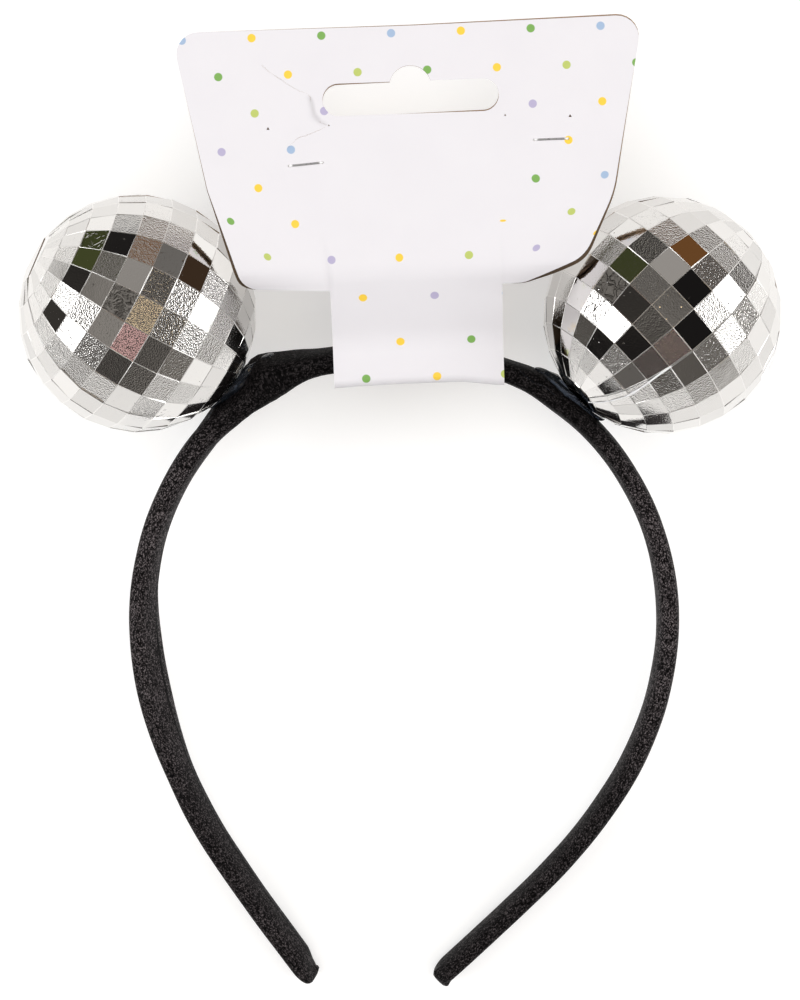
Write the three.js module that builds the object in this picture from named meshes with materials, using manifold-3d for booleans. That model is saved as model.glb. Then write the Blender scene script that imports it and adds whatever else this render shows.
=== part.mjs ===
// A party headband: a satin-covered band with two faceted mirror balls glued on and a folded hanging card.
// Millimetres. It lies on its side: +X to the right, +Y from the tips to the crown, +Z up from the floor.
// Pieces are drawn in the band's own plane, which is then tilted until balls and tips stand on the floor.
import * as THREE from 'three';
import { mergeVertices } from 'three/addons/utils/BufferGeometryUtils.js';
import Module from 'manifold-3d';

const FIT_GAP = 0.3;

// The band's crown, its strip and its rounded tips, whose lower edges drop below the strip's middle
const CROWN_X = 3.1;
const CROWN_Y = 34.3;
const BAND_WIDTH = 10;
const BAND_STEP = 4.6;
const TIP_ROUND = 4;
const TIP_DROP = 5.3;
const SECTION_SIDES = 16;
const SECTION_ROUNDING = 0.62;

// Each leg is a chain of arcs from the crown to its tip, sweeps in degrees
const LEFT_ARCS = [
  { radius: 142, sweep: 10.2 },
  { radius: 26.7, sweep: 23.7 },
  { radius: 65, sweep: 61.2 },
  { radius: 116.5, sweep: 27.6 },
  { radius: 484, sweep: 4.4 },
];
const RIGHT_ARCS = [
  { radius: 58, sweep: 54 },
  { radius: 66, sweep: 41 },
  { radius: 79, sweep: 27 },
  { radius: 132, sweep: 13 },
  { radius: 900, sweep: 2.1 },
];

// Strip sections by distance along the band from the crown, left negative; lean turns the outer face up
const BAND_SECTIONS = [
  { along: -202, thick: 4.6, lean: -12 },
  { along: -145, thick: 4.8, lean: -15 },
  { along: -117, thick: 4.8, lean: -30 },
  { along: -85, thick: 4.8, lean: -12 },
  { along: -58, thick: 5.5, lean: -3 },
  { along: -45, thick: 6.0, lean: 20 },
  { along: -35, thick: 7.4, lean: 28 },
  { along: -21, thick: 5.0, lean: 9 },
  { along: 24, thick: 4.9, lean: 4 },
  { along: 60, thick: 4.8, lean: 0 },
  { along: 130, thick: 4.8, lean: 0 },
  { along: 202, thick: 4.5, lean: 0 },
];

// Mirror balls: the pole's direction in the band's plane, its rise out of it, and the seam's turn about it
const BALL_RADIUS = 27.5;
const BALL_WALL = 1.2;
const TILES_ROUND = 24;
const TILE_ROWS = 14;
const BALLS = [
  { side: 'left', x: -61.4, y: 44.3, poleTurn: 150, poleRise: 12, seamTurn: 45 },
  { side: 'right', x: 60.1, y: 43.8, poleTurn: 42, poleRise: -12, seamTurn: -74 },
];

// Hot-melt beads between ball and band
const GLUE_LENGTH = 20;
const GLUE_WIDTH = 11;
const GLUE_DEPTH = 7;
const GLUE_TO_CROWN = 3;

// Folded card: trapezoid leaves, a tongue that loops the crown, and a hanging slot
const CARD_THICK = 0.5;
const CARD_X = 4.4;
const CARD_YAW = 2;
const CARD_TOP = 110;
const CARD_LEFT = [
  { x: -53.5, y: 110, round: 5 },
  { x: -46.8, y: 74.8, round: 4 },
  { x: -39.5, y: 51.6, round: 5 },
];
const CARD_RIGHT = [
  { x: 24, y: 51.5, round: 4 },
  { x: 37.7, y: 57.2, round: 6 },
  { x: 44.7, y: 71.2, round: 3 },
  { x: 52.3, y: 110.5, round: 5 },
];
const TONGUE_LEFT = -20.1;
const TONGUE_RIGHT = 19.1;
const TONGUE_TOP = 51.4;
const LOOP_BOTTOM = 26.9;
const LOOP_HALF = 6.3;
const LOOP_CORNER = 1.2;
const LOOP_TOP = 39;
const LEAVES_MEET = 55;
const LEAVES_HEIGHT = 13;
const SLOT_X = -0.3;
const SLOT_Y = 94.2;
const SLOT_HALF = 19.8;
const SLOT_HEIGHT = 7.2;
const SLOT_BUMP = 4.7;

// Staples, placed from the card's middle line
const WIRE = 0.55;
const STAPLE_LENGTH = 8;
const STAPLE_FOOT = 2.9;
const STAPLES = [
  { side: 'left', x: -24.4, y: 79.8, turn: 3.8 },
  { side: 'right', x: 31, y: 83.5, turn: 0 },
];

const wasm = await Module();
wasm.setup();

const rad = THREE.MathUtils.degToRad;

// Finishes
const satin = new THREE.MeshStandardMaterial({ color: '#1c191b', roughness: 0.55, metalness: 0 });
const mirror = new THREE.MeshStandardMaterial({ color: '#c9ccd0', roughness: 0.12, metalness: 1 });
const glue = new THREE.MeshStandardMaterial({ color: '#dfe7ee', roughness: 0.15, metalness: 0 });
const board = new THREE.MeshStandardMaterial({ color: '#eeecf0', roughness: 0.6, metalness: 0 });
const steel = new THREE.MeshStandardMaterial({ color: '#b9bbbd', roughness: 0.3, metalness: 1 });

// A solid that can be joined and cut, from a closed surface
function solidOf(geometry) {
  const bare = new THREE.BufferGeometry();
  bare.setAttribute('position', geometry.getAttribute('position').clone());
  if (geometry.index) {
    bare.setIndex(geometry.index.clone());
  }
  const welded = mergeVertices(bare, 1e-4);
  return new wasm.Manifold(new wasm.Mesh({
    numProp: 3,
    vertProperties: new Float32Array(welded.getAttribute('position').array),
    triVerts: new Uint32Array(welded.index.array),
  }));
}

// A named mesh from a solid, each point passed through an optional shaping step
function meshOf(name, solid, material, shape = (point) => point) {
  const data = solid.getMesh();
  const points = [];
  for (let i = 0; i < data.vertProperties.length; i += data.numProp) {
    const point = new THREE.Vector3().fromArray(data.vertProperties, i);
    points.push(...shape(point).toArray());
  }
  const geometry = new THREE.BufferGeometry();
  geometry.setAttribute('position', new THREE.Float32BufferAttribute(points, 3));
  geometry.setIndex([...data.triVerts]);
  geometry.computeVertexNormals();
  const mesh = new THREE.Mesh(geometry, material.clone());
  mesh.name = name;
  return mesh;
}

// A box between two corners
function boxSolid(low, high) {
  const size = high.clone().sub(low);
  const middle = low.clone().add(high).multiplyScalar(0.5);
  const geometry = new THREE.BoxGeometry(size.x, size.y, size.z);
  return solidOf(geometry.translate(middle.x, middle.y, middle.z));
}

// An outline in the band's plane raised through a span of heights
function prism(shape, low, high) {
  const geometry = new THREE.ExtrudeGeometry(shape, { depth: high - low, bevelEnabled: false, curveSegments: 8 });
  return solidOf(geometry.translate(0, 0, low));
}

// Length of a chain of arcs
function chainLength(arcs) {
  return arcs.reduce((sum, arc) => sum + arc.radius * rad(arc.sweep), 0);
}

// The band's middle line at a distance from the crown: where it is and which way is outward
function bandPoint(along) {
  const toLeft = along < 0;
  const turn = toLeft ? 1 : -1;
  let heading = toLeft ? Math.PI : 0;
  let x = CROWN_X;
  let y = CROWN_Y;
  let rest = Math.abs(along);
  for (const arc of toLeft ? LEFT_ARCS : RIGHT_ARCS) {
    const run = Math.min(rest, arc.radius * rad(arc.sweep));
    const next = heading + turn * run / arc.radius;
    x += turn * arc.radius * (Math.sin(next) - Math.sin(heading));
    y -= turn * arc.radius * (Math.cos(next) - Math.cos(heading));
    heading = next;
    rest -= run;
  }
  return { x, y, outX: turn * Math.sin(heading), outY: -turn * Math.cos(heading) };
}

// Thickness and lean between two rows of the section table, eased
function bandSection(along) {
  const next = Math.max(1, BAND_SECTIONS.findIndex((row) => row.along > along));
  const a = BAND_SECTIONS[next - 1];
  const b = BAND_SECTIONS[next];
  const share = THREE.MathUtils.smoothstep(along, a.along, b.along);
  return {
    thick: THREE.MathUtils.lerp(a.thick, b.thick, share),
    lean: rad(THREE.MathUtils.lerp(a.lean, b.lean, share)),
  };
}

// The covered strip swept from tip to tip, grown all round by a clearance
function bandSolid(grow) {
  const start = -chainLength(LEFT_ARCS);
  const end = chainLength(RIGHT_ARCS);
  const inner = Math.round((end - start - 2 * TIP_ROUND) / BAND_STEP);
  const stations = [0.05, 0.3, 0.65].map((share) => start + share * TIP_ROUND);
  for (let i = 0; i <= inner; i += 1) {
    stations.push(THREE.MathUtils.lerp(start + TIP_ROUND, end - TIP_ROUND, i / inner));
  }
  stations.push(...[0.65, 0.3, 0.05].map((share) => end - share * TIP_ROUND));

  const points = [];
  for (const along of stations) {
    const { x, y, outX, outY } = bandPoint(along);
    const { thick, lean } = bandSection(along);
    const toTip = Math.min(along - start, end - along, TIP_ROUND) / TIP_ROUND;
    const round = Math.sqrt(1 - (1 - toTip) ** 2);
    const halfThick = (0.5 + 0.5 * round) * thick / 2 + grow;
    const halfWidth = (0.35 + 0.65 * round) * BAND_WIDTH / 2 + grow;
    for (let k = 0; k < SECTION_SIDES; k += 1) {
      const angle = 2 * Math.PI * k / SECTION_SIDES;
      const c = Math.cos(angle);
      const s = Math.sin(angle);
      const deep = Math.sign(c) * Math.abs(c) ** SECTION_ROUNDING * halfThick;
      const wide = Math.sign(s) * Math.abs(s) ** SECTION_ROUNDING * halfWidth;
      const out = deep * Math.cos(lean) - wide * Math.sin(lean);
      const up = deep * Math.sin(lean) + wide * Math.cos(lean);
      points.push(x + outX * out, y + outY * out, up);
    }
  }

  const index = [];
  const last = stations.length - 1;
  for (let i = 0; i < last; i += 1) {
    for (let k = 0; k < SECTION_SIDES; k += 1) {
      const a = i * SECTION_SIDES + k;
      const b = i * SECTION_SIDES + (k + 1) % SECTION_SIDES;
      index.push(a, b, a + SECTION_SIDES);
      index.push(b, b + SECTION_SIDES, a + SECTION_SIDES);
    }
  }
  for (let k = 1; k < SECTION_SIDES - 1; k += 1) {
    index.push(0, k + 1, k);
    index.push(last * SECTION_SIDES, last * SECTION_SIDES + k, last * SECTION_SIDES + k + 1);
  }
  const geometry = new THREE.BufferGeometry();
  geometry.setAttribute('position', new THREE.Float32BufferAttribute(points, 3));
  geometry.setIndex(index);
  return solidOf(geometry);
}

// A ball's own directions: its pole, the way its seam faces, and the third square to both
function ballBasis(ball) {
  const flat = Math.cos(rad(ball.poleRise));
  const pole = new THREE.Vector3(
    flat * Math.cos(rad(ball.poleTurn)),
    flat * Math.sin(rad(ball.poleTurn)),
    Math.sin(rad(ball.poleRise)),
  );
  const facing = new THREE.Vector3(0, 0, 1).projectOnPlane(pole).normalize();
  facing.applyAxisAngle(pole, rad(ball.seamTurn));
  const across = new THREE.Vector3().crossVectors(pole, facing);
  return new THREE.Matrix4().makeBasis(across, pole, facing).setPosition(ball.x, ball.y, 0);
}

// A faceted ball with a flat moulded cap at each pole
function facetedBall(radius) {
  const cap = radius * Math.cos(Math.PI / TILE_ROWS);
  const ball = solidOf(new THREE.SphereGeometry(radius, TILES_ROUND, TILE_ROWS));
  const slab = boxSolid(new THREE.Vector3(-40, -cap, -40), new THREE.Vector3(40, cap, 40));
  return ball.intersect(slab);
}

// The two half shells of a ball, parted along its seam
function ballHalves(ball) {
  const shell = facetedBall(BALL_RADIUS).subtract(facetedBall(BALL_RADIUS - BALL_WALL));
  const seam = FIT_GAP / 2;
  const front = boxSolid(new THREE.Vector3(-40, -40, seam), new THREE.Vector3(40, 40, 40));
  const back = boxSolid(new THREE.Vector3(-40, -40, -40), new THREE.Vector3(40, 40, -seam));
  const place = ballBasis(ball);
  const turned = (point) => point.applyMatrix4(place);
  return [
    meshOf(`ball_${ball.side}_front`, shell.intersect(front), mirror, turned),
    meshOf(`ball_${ball.side}_back`, shell.intersect(back), mirror, turned),
  ];
}

// The place on the band that is nearest a ball
function nearestAlong(ball) {
  const side = Math.sign(ball.x);
  let best = 0;
  let least = Infinity;
  for (let along = 10; along < 120; along += 0.5) {
    const { x, y } = bandPoint(side * along);
    const distance = Math.hypot(x - ball.x, y - ball.y);
    if (distance < least) {
      least = distance;
      best = side * along;
    }
  }
  return best;
}

// A bead squeezed between ball and band, a little to the crown's side of where they are nearest
function gluePiece(ball, grownBand) {
  const along = nearestAlong(ball) - Math.sign(ball.x) * GLUE_TO_CROWN;
  const { x, y, outX, outY } = bandPoint(along);
  const reach = Math.hypot(ball.x - x, ball.y - y);
  const middle = (reach - BALL_RADIUS + bandSection(along).thick / 2) / 2;
  const bead = new THREE.SphereGeometry(0.5, 20, 14);
  bead.scale(GLUE_LENGTH, GLUE_DEPTH, GLUE_WIDTH);
  bead.rotateZ(Math.atan2(-outX, outY));
  bead.translate(x + outX * middle, y + outY * middle, 0);
  const grownBall = facetedBall(BALL_RADIUS + FIT_GAP).transform(ballBasis(ball).toArray());
  return meshOf(`glue_${ball.side}`, solidOf(bead).subtract(grownBall).subtract(grownBand), glue);
}

// The card's side profile as a thick line: front leaf down, round the crown, back leaf up
function cardProfile() {
  const apart = (CARD_THICK + FIT_GAP) / 2;
  const line = [
    [CARD_TOP + 5, LEAVES_HEIGHT + apart],
    [LEAVES_MEET, LEAVES_HEIGHT + apart],
    [LOOP_TOP, LOOP_HALF],
  ];
  for (const side of [1, -1]) {
    for (let i = 0; i <= 4; i += 1) {
      const angle = rad(side > 0 ? i * 22.5 : 90 - i * 22.5);
      line.push([
        LOOP_BOTTOM + LOOP_CORNER * (1 - Math.sin(angle)),
        side * (LOOP_HALF - LOOP_CORNER * (1 - Math.cos(angle))),
      ]);
    }
  }
  line.push([LOOP_TOP, -LOOP_HALF]);
  line.push([LEAVES_MEET, LEAVES_HEIGHT - apart]);
  line.push([CARD_TOP + 5, LEAVES_HEIGHT - apart]);
  return thickLine(line, CARD_THICK);
}

// A closed outline with an even thickness about a line of points
function thickLine(line, thickness) {
  const points = line.map(([a, b]) => new THREE.Vector2(a, b));
  const normals = points.slice(1).map((point, i) => {
    const run = point.clone().sub(points[i]).normalize();
    return new THREE.Vector2(-run.y, run.x);
  });
  const offsets = points.map((point, i) => {
    const before = normals[Math.max(0, i - 1)];
    const after = normals[Math.min(normals.length - 1, i)];
    const mitre = before.clone().add(after).normalize();
    return mitre.multiplyScalar(thickness / 2 / mitre.dot(after));
  });
  const oneSide = points.map((point, i) => point.clone().add(offsets[i]));
  const otherSide = points.map((point, i) => point.clone().sub(offsets[i])).reverse();
  return new THREE.Shape([...oneSide, ...otherSide]);
}

// A closed outline whose corners are rounded, each row a corner and its radius
function roundedOutline(corners) {
  const shape = new THREE.Shape();
  corners.forEach(({ x, y, round }, i) => {
    const corner = new THREE.Vector2(x, y);
    const before = corners[(i + corners.length - 1) % corners.length];
    const after = corners[(i + 1) % corners.length];
    const enter = new THREE.Vector2(before.x, before.y).sub(corner).setLength(round).add(corner);
    const leave = new THREE.Vector2(after.x, after.y).sub(corner).setLength(round).add(corner);
    if (i === 0) {
      shape.moveTo(enter.x, enter.y);
    } else {
      shape.lineTo(enter.x, enter.y);
    }
    shape.quadraticCurveTo(corner.x, corner.y, leave.x, leave.y);
  });
  shape.closePath();
  return shape;
}

// Places a piece of the card: turned a little and moved to the card's middle line
function onCard(solid) {
  const turn = new THREE.Matrix4().makeRotationZ(rad(CARD_YAW));
  const toCard = new THREE.Matrix4().makeTranslation(CARD_X, LOOP_BOTTOM, 0);
  const fromCard = new THREE.Matrix4().makeTranslation(0, -LOOP_BOTTOM, 0);
  return solid.transform(toCard.multiply(turn).multiply(fromCard).toArray());
}

// The folded card with its hanging slot and staple holes
function cardPiece() {
  const sheet = new THREE.ExtrudeGeometry(cardProfile(), { depth: 140, bevelEnabled: false });
  const sideways = new THREE.Matrix4().makeBasis(
    new THREE.Vector3(0, 1, 0),
    new THREE.Vector3(0, 0, 1),
    new THREE.Vector3(1, 0, 0),
  );
  sheet.applyMatrix4(sideways).translate(-70, 0, 0);

  const outline = roundedOutline([
    ...CARD_LEFT,
    { x: TONGUE_LEFT, y: TONGUE_TOP, round: 1.5 },
    { x: TONGUE_LEFT, y: LOOP_BOTTOM - 5, round: 1 },
    { x: TONGUE_RIGHT, y: LOOP_BOTTOM - 5, round: 1 },
    { x: TONGUE_RIGHT, y: TONGUE_TOP, round: 1.5 },
    ...CARD_RIGHT,
  ]);
  const slotEnd = SLOT_HEIGHT / 2;
  const slot = roundedOutline([
    { x: SLOT_X - SLOT_HALF, y: SLOT_Y - slotEnd, round: slotEnd },
    { x: SLOT_X + SLOT_HALF, y: SLOT_Y - slotEnd, round: slotEnd },
    { x: SLOT_X + SLOT_HALF, y: SLOT_Y + slotEnd, round: slotEnd },
    { x: SLOT_X - SLOT_HALF, y: SLOT_Y + slotEnd, round: slotEnd },
  ]);
  const bump = new THREE.CylinderGeometry(SLOT_BUMP, SLOT_BUMP, 60, 24).rotateX(Math.PI / 2);
  bump.translate(SLOT_X, SLOT_Y + slotEnd - 1.2, 10);

  let card = solidOf(sheet).intersect(prism(outline, -20, 40));
  card = card.subtract(prism(slot, -20, 40).add(solidOf(bump)));
  const leg = STAPLE_LENGTH / 2 - WIRE / 2;
  const hole = WIRE / 2 + FIT_GAP;
  for (const staple of STAPLES) {
    for (const side of [-leg, leg]) {
      const x = staple.x + side * Math.cos(rad(staple.turn));
      const y = staple.y + side * Math.sin(rad(staple.turn));
      const low = new THREE.Vector3(x - hole, y - hole, -20);
      const high = new THREE.Vector3(x + hole, y + hole, 40);
      card = card.subtract(boxSolid(low, high));
    }
  }
  return meshOf('hang_card', onCard(card), board);
}

// A wire staple: crown on the front leaf, legs through both leaves, feet folded in behind
function staplePiece(staple) {
  const half = STAPLE_LENGTH / 2;
  const near = CARD_THICK + FIT_GAP / 2 + 0.2;
  const far = near + WIRE;
  const foot = half - STAPLE_FOOT;
  const shape = new THREE.Shape([
    [-half, far], [half, far], [half, -far], [foot, -far], [foot, -near], [half - WIRE, -near],
    [half - WIRE, near], [-half + WIRE, near], [-half + WIRE, -near], [-foot, -near], [-foot, -far], [-half, -far],
  ].map(([x, z]) => new THREE.Vector2(x, z)));
  const wire = new THREE.ExtrudeGeometry(shape, { depth: WIRE, bevelEnabled: false });
  wire.translate(0, 0, -WIRE / 2).rotateX(Math.PI / 2).rotateZ(rad(staple.turn));
  wire.translate(staple.x, staple.y, LEAVES_HEIGHT);
  return meshOf(`staple_${staple.side}`, onCard(solidOf(wire)), steel);
}

// The assembly in the band's plane
const assembly = new THREE.Group();
assembly.name = 'assembly';
const grownBand = bandSolid(FIT_GAP);
assembly.add(meshOf('band', bandSolid(0), satin));
for (const ball of BALLS) {
  assembly.add(...ballHalves(ball));
  assembly.add(gluePiece(ball, grownBand));
}
assembly.add(cardPiece());
for (const staple of STAPLES) {
  assembly.add(staplePiece(staple));
}

// Tilted so that both balls and the tips stand on the floor
const tip = bandPoint(-chainLength(LEFT_ARCS) + TIP_ROUND);
assembly.rotation.x = Math.asin((BALL_RADIUS - TIP_DROP) / (BALLS[0].y - tip.y));

// Origin at the middle of the footprint, on the floor
const part = new THREE.Group();
part.name = 'party_headband';
part.add(assembly);
part.updateMatrixWorld(true);
const box = new THREE.Box3().setFromObject(part, true);
const middle = box.getCenter(new THREE.Vector3());
assembly.position.set(-middle.x, -middle.y, -box.min.z);

export default part;
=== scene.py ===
import bisect
import math
import random

import bpy
from mathutils import Matrix, Vector, noise


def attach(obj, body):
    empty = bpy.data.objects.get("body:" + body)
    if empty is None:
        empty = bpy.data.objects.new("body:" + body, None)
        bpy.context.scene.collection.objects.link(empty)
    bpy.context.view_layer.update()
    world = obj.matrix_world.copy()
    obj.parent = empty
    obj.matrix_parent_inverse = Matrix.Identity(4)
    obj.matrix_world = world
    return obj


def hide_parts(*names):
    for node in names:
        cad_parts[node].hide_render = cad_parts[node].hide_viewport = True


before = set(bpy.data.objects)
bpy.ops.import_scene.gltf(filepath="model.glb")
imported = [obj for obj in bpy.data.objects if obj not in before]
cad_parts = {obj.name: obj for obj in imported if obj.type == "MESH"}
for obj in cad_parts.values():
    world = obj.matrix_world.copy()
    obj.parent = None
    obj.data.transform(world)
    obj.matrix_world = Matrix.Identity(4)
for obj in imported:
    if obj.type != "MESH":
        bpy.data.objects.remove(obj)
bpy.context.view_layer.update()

# Studio: a pale table top, lit through from below, that the headband lies on, seen from straight above.
# Two soft boxes stand low at the left and right, and a wide diffuser hangs overhead.
# The balls mirror the room around, which is dim, with a few paler and warmer places.
CAMERA_PLACE = (-0.00002, 0.0036, 0.6717)
CAMERA_LENS = 100.0
CAMERA_SENSOR = 36.0
TABLE_SIZE = 6.0
TABLE_GLOW = 0.45
DIFFUSER_SIZE = 2.6
DIFFUSER_HEIGHT = 2.1
DIFFUSER_WATTS = 44.0
SOFT_BOXES = [
    {"name": "soft_box_left", "place": (-1.05, -0.02, 0.62), "wide": 0.75, "tall": 0.42, "watts": 6.0},
    {"name": "soft_box_right", "place": (1.08, 0.06, 0.55), "wide": 0.75, "tall": 0.42, "watts": 6.0},
]
ROOM_SHADES = [(0.38, (0.012, 0.011, 0.011)), (0.52, (0.055, 0.050, 0.045)), (0.64, (0.300, 0.282, 0.262))]
PATCH_EDGE = (1.25, 0.75)
# Direction, reach in degrees, colour.
ROOM_PATCHES = [
    ((0.66, 0.70, 0.16), 20, (0.050, 0.030, 0.018)),
    ((0.22, 0.91, 0.33), 14, (0.200, 0.088, 0.030)),
    ((0.00, 0.76, 0.65), 15, (0.400, 0.380, 0.360)),
    ((-0.58, 0.75, 0.30), 15, (0.062, 0.072, 0.026)),
    ((0.60, 0.66, 0.46), 9, (0.200, 0.190, 0.180)),
    ((0.60, -0.58, 0.53), 19, (0.110, 0.100, 0.090)),
    ((-0.60, -0.75, 0.22), 17, (0.170, 0.160, 0.150)),
    ((0.50, -0.86, 0.10), 13, (0.300, 0.280, 0.255)),
    ((0.203, -0.086, 0.975), 7, (2.600, 2.000, 1.200)),
    ((-0.063, -0.521, 0.851), 6, (0.900, 0.560, 0.540)),
]


def add_node(tree, kind, inputs=None, **settings):
    """A shader node, its sockets set to values or linked to other nodes' sockets."""
    made = tree.nodes.new("ShaderNode" + kind)
    for name, value in settings.items():
        setattr(made, name, value)
    for key, value in (inputs or {}).items():
        if isinstance(value, bpy.types.NodeSocket):
            tree.links.new(value, made.inputs[key])
        else:
            made.inputs[key].default_value = value
    return made


def calc(tree, operation, *values):
    """The result of a math node on numbers or sockets."""
    return add_node(tree, "Math", dict(enumerate(values)), operation=operation).outputs[0]


def mix_colours(tree, share, first, second):
    """A colour between two others; a plain colour has three numbers."""
    whole = [(*c, 1.0) if isinstance(c, tuple) and len(c) == 3 else c for c in (first, second)]
    made = add_node(tree, "Mix", {0: share, 6: whole[0], 7: whole[1]}, data_type="RGBA")
    return made.outputs[2]


def remap(tree, value, low, high, to_low=0.0, to_high=1.0, smooth=False):
    """A value carried from one range to another, held at its ends."""
    kind = "SMOOTHSTEP" if smooth else "LINEAR"
    sockets = {"Value": value, 1: low, 2: high, 3: to_low, 4: to_high}
    return add_node(tree, "MapRange", sockets, interpolation_type=kind).outputs[0]


def product(tree, *factors):
    """Numbers or sockets multiplied together."""
    result = factors[0]
    for factor in factors[1:]:
        result = calc(tree, "MULTIPLY", result, factor)
    return result


def cloudy(tree, place, scale, detail, **more):
    """The value of a noise texture at a place."""
    sockets = {"Vector": place, "Scale": scale, "Detail": detail, **more}
    return add_node(tree, "TexNoise", sockets).outputs["Fac"]


def ramp(tree, value, stops, kind):
    """A colour that a value chooses among stops, each a position and a colour."""
    made = add_node(tree, "ValToRGB", {"Fac": value})
    made.color_ramp.interpolation = kind
    while len(made.color_ramp.elements) < len(stops):
        made.color_ramp.elements.new(0.5)
    for element, (position, colour) in zip(made.color_ramp.elements, stops):
        element.position = position
        element.color = (*colour, 1)
    return made.outputs["Color"]


def numbers(tree, vector):
    """The X, Y and Z of a vector."""
    return add_node(tree, "SeparateXYZ", {0: vector}).outputs


def dress(tree, shader, **looks):
    """Links what varies over a material to the sockets of its shader."""
    for name, look in looks.items():
        tree.links.new(look, shader.inputs[name.replace("_", " ")])


def new_material(name, **values):
    """A material with its Principled shader, and the shader's sockets that are the same all over."""
    material = bpy.data.materials.new(name)
    material.use_nodes = True
    shader = material.node_tree.nodes["Principled BSDF"]
    for key, value in values.items():
        shader.inputs[key.replace("_", " ")].default_value = value
    return material, material.node_tree, shader


bpy.context.scene.view_settings.view_transform = "Standard"
bpy.ops.object.camera_add(location=CAMERA_PLACE)
camera = bpy.context.object
camera.name = "camera"
camera.data.lens = CAMERA_LENS
camera.data.sensor_width = CAMERA_SENSOR
bpy.context.scene.camera = camera

for box in SOFT_BOXES:
    place = Vector(box["place"])
    bpy.ops.object.light_add(type="AREA", location=place, rotation=place.to_track_quat("Z", "Y").to_euler())
    light = bpy.context.object
    light.name = box["name"]
    light.data.shape = "RECTANGLE"
    light.data.size = box["wide"]
    light.data.size_y = box["tall"]
    light.data.energy = box["watts"]
    light.visible_camera = False

bpy.ops.object.light_add(type="AREA", location=(0, 0, DIFFUSER_HEIGHT))
diffuser = bpy.context.object
diffuser.name = "diffuser"
diffuser.data.size = DIFFUSER_SIZE
diffuser.data.energy = DIFFUSER_WATTS
diffuser.visible_glossy = False
diffuser.visible_camera = False

room = bpy.data.worlds.new("dim_room")
bpy.context.scene.world = room
room.use_nodes = True
tree = room.node_tree
direction = add_node(tree, "TexCoord").outputs["Generated"]
clutter = cloudy(tree, direction, 3.4, 1.5)
shade = ramp(tree, clutter, ROOM_SHADES, "LINEAR")
for towards, reach, colour in ROOM_PATCHES:
    aim = Vector(towards).normalized()
    near = add_node(tree, "VectorMath", {0: direction, 1: aim}, operation="DOT_PRODUCT").outputs["Value"]
    outer, inner = (math.cos(math.radians(reach * share)) for share in PATCH_EDGE)
    shade = mix_colours(tree, remap(tree, near, outer, inner, smooth=True), shade, colour)
behind = add_node(tree, "LightPath").outputs["Is Camera Ray"]
shade = mix_colours(tree, behind, shade, (0.93, 0.93, 0.93))
tree.links.new(shade, tree.nodes["Background"].inputs["Color"])

bpy.ops.mesh.primitive_plane_add(size=TABLE_SIZE)
table = bpy.context.object
table.name = "table_top"
table_white, tree, shader = new_material(
    "table_white", Roughness=0.65, Emission_Color=(1, 1, 1, 1), Emission_Strength=TABLE_GLOW
)
place = add_node(tree, "TexCoord").outputs["Object"]
cloud = cloudy(tree, place, 9.0, 3.0)
dress(tree, shader, Base_Color=mix_colours(tree, cloud, (0.610, 0.610, 0.608), (0.630, 0.630, 0.628)))
table.data.materials.append(table_white)

# Band: a springy plastic strip, wrapped lengthwise in black satin ribbon that overlaps on the inner face.
# It stands on edge in its own plane, which tilts up from the tips to the balls; each leg is a chain of arcs.
# The ribbon is bunched up at the shoulders, where the balls are glued on, and tucked in at the tips.
MM = 0.001
TILT = math.radians(8.184165)
SHIFT = Vector((0.60262, 3.08158, 20.99036)) * MM
CROWN_X = 3.1
CROWN_Y = 34.3
LEFT_ARCS = [(142, 10.2), (26.7, 23.7), (65, 61.2), (116.5, 27.6), (484, 4.4)]
RIGHT_ARCS = [(58, 54), (66, 41), (79, 27), (132, 13), (900, 2.1)]
BAND_WIDTH = 10.0
USUAL_THICK = 4.8
TIP_ROUND = 4.0
TIP_THIN = 0.5
TIP_NARROW = 0.35
TIP_CLEAR = 0.2
SECTION_ROUNDING = 0.62
# Distance along from the crown, thickness, lean in degrees.
BAND_SECTIONS = [
    (-202, 4.6, -12), (-145, 4.8, -15), (-117, 4.8, -30), (-85, 4.8, -12), (-58, 5.5, -3), (-45, 6.0, 20),
    (-35, 7.4, 28), (-21, 5.0, 9), (24, 4.9, 4), (60, 4.8, 0), (130, 4.8, 0), (202, 4.5, 0),
]
RIBBON_CELLS_ALONG = 380
RIBBON_CELLS_AROUND = 60
RIBBON_AROUND = 27.0
RIBBON_CROWDING = 0.1
SEAM_ANGLE = 194.0
SEAM_STEP = 0.34
RIBBON_UNEVEN = 0.10
CARD_COVERS = (24, 40)
WRINKLE_HEIGHT = 0.08
WRINKLED = (-56, -44, -32, -24)
SHOULDER_OUT = {"left": 0.25, "right": 0.5}
SHOULDER_SPAN = {"left": (10, 18, 26, 34), "right": (6, 16, 26, 36)}
SHOULDER_BULGE = {"left": 1.9, "right": 0.75}
SHOULDER_AT = {"left": 35.0, "right": 28.5}
SHOULDER_REACH = {"left": 3.6, "right": 5.0}
BUNCHED = 0.35
BUNCHED_SPAN = (14, 20, 36, 44)
TIP_FOLDS = [
    {"tip": "left", "in": 1.1, "angle": 192.0, "reach": 0.75, "lift": 1.0},
    {"tip": "right", "in": 0.9, "angle": 25.0, "reach": 1.1, "lift": 0.8},
    {"tip": "right", "in": 1.3, "angle": 150.0, "reach": 1.1, "lift": 0.7},
]
TIP_DRAWN_OUT = 0.7
TIP_TAPER = 1.15
SATIN_FLOAT = (0.29, 0.20)
SATIN_SLANT = math.radians(38)
# Painted shade: the near-black that the satin's colour is taken towards where less light falls.
SATIN_SHADE_BLACK = (0.0012, 0.0011, 0.0012)
# Painted shadow: where on the ribbon's girth the dark line beside the overlap's lip lies, and its colour.
LIP_SHADOW_SPAN = (0.938, 0.946, 0.962, 0.970)
LIP_SHADOW_BLACK = (0.0012, 0.0011, 0.0011)


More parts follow.
